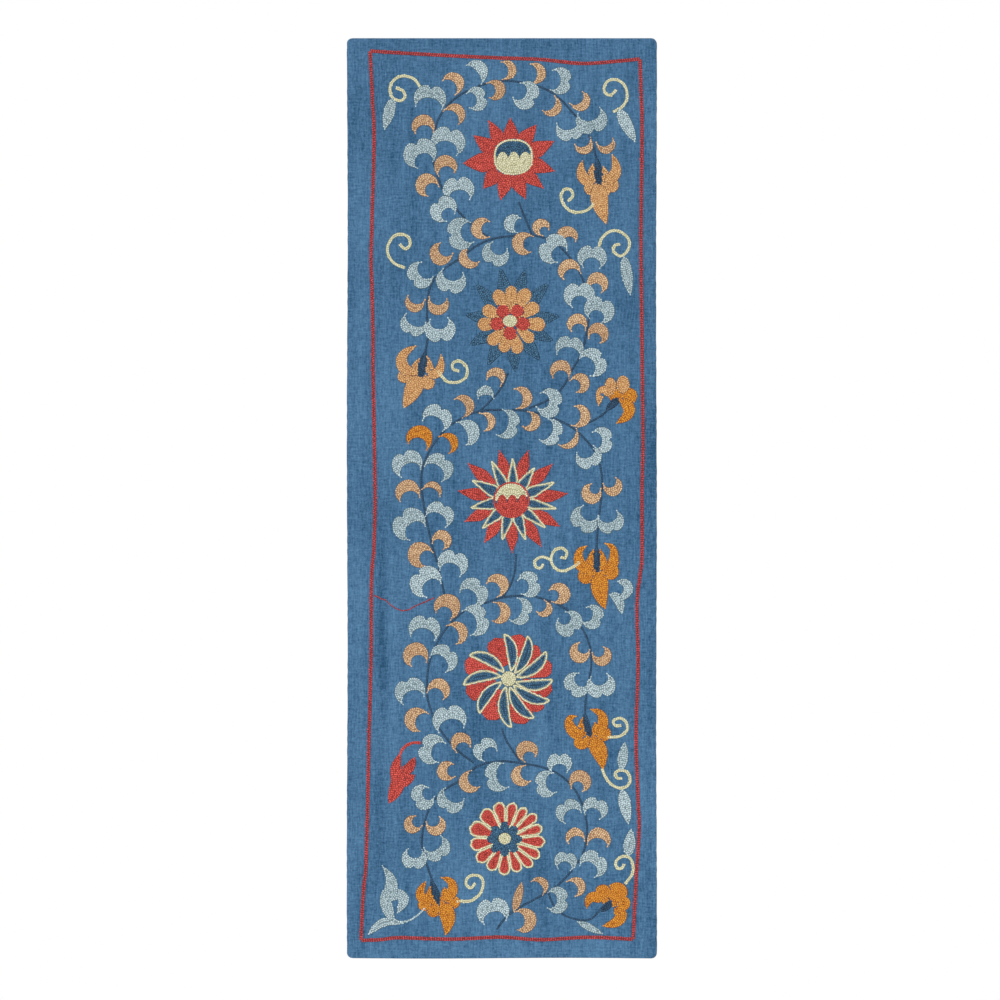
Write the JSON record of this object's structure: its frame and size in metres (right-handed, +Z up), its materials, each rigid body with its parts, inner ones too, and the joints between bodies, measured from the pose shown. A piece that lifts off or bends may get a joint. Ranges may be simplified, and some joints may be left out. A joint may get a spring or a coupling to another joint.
{
  "type": "embroidered wall hanging",
  "caption": "Long narrow wall hanging of blue cloth with raised chain-stitch embroidery: rosettes down the middle, vines winding between them, and a red border line.",
  "frame": {"origin": "middle of the top edge of the cloth, where it is held", "axes": "+Z up along the length, +X across the width to the right as seen from the worked side, +Y out of the back towards the wall; the worked side faces -Y"},
  "size_m": [0.5012, 0.0103, 1.4876],
  "materials": {
    "cloth": "matt plain-woven blue cloth with slubs",
    "red_thread": "soft sheen of chain-stitched red thread",
    "navy_thread": "soft sheen of chain-stitched navy thread",
    "orange_thread": "soft sheen of chain-stitched orange thread",
    "cream_thread": "soft sheen of chain-stitched cream thread",
    "pale_thread": "soft sheen of chain-stitched pale grey-blue thread"
  },
  "bodies": {
    "root": {"border_line": "red_thread", "branch_1": "pale_thread", "branch_2": "pale_thread", "branch_3": "pale_thread", "branch_4": "pale_thread", "branch_5": "pale_thread", "corner_spray": "pale_thread", "flower_1": "orange_thread", "flower_2": "orange_thread", "flower_3": "orange_thread", "flower_4": "orange_thread", "flower_5": "orange_thread", "flower_6": "orange_thread", "flower_7": "orange_thread", "ground_cloth": "cloth", "loose_leaf": "pale_thread", "low_leaf": "pale_thread", "medallion_1": "red_thread", "medallion_2": "orange_thread", "medallion_3": "red_thread", "medallion_4": "navy_thread", "medallion_5": "red_thread", "red_bud": "red_thread", "tendril_1": "cream_thread", "tendril_10": "cream_thread", "tendril_11": "cream_thread", "tendril_2": "cream_thread", "tendril_3": "cream_thread", "tendril_4": "cream_thread", "tendril_5": "cream_thread", "tendril_6": "cream_thread", "tendril_7": "cream_thread", "tendril_8": "cream_thread", "tendril_9": "cream_thread"}
  },
  "joints": []
}
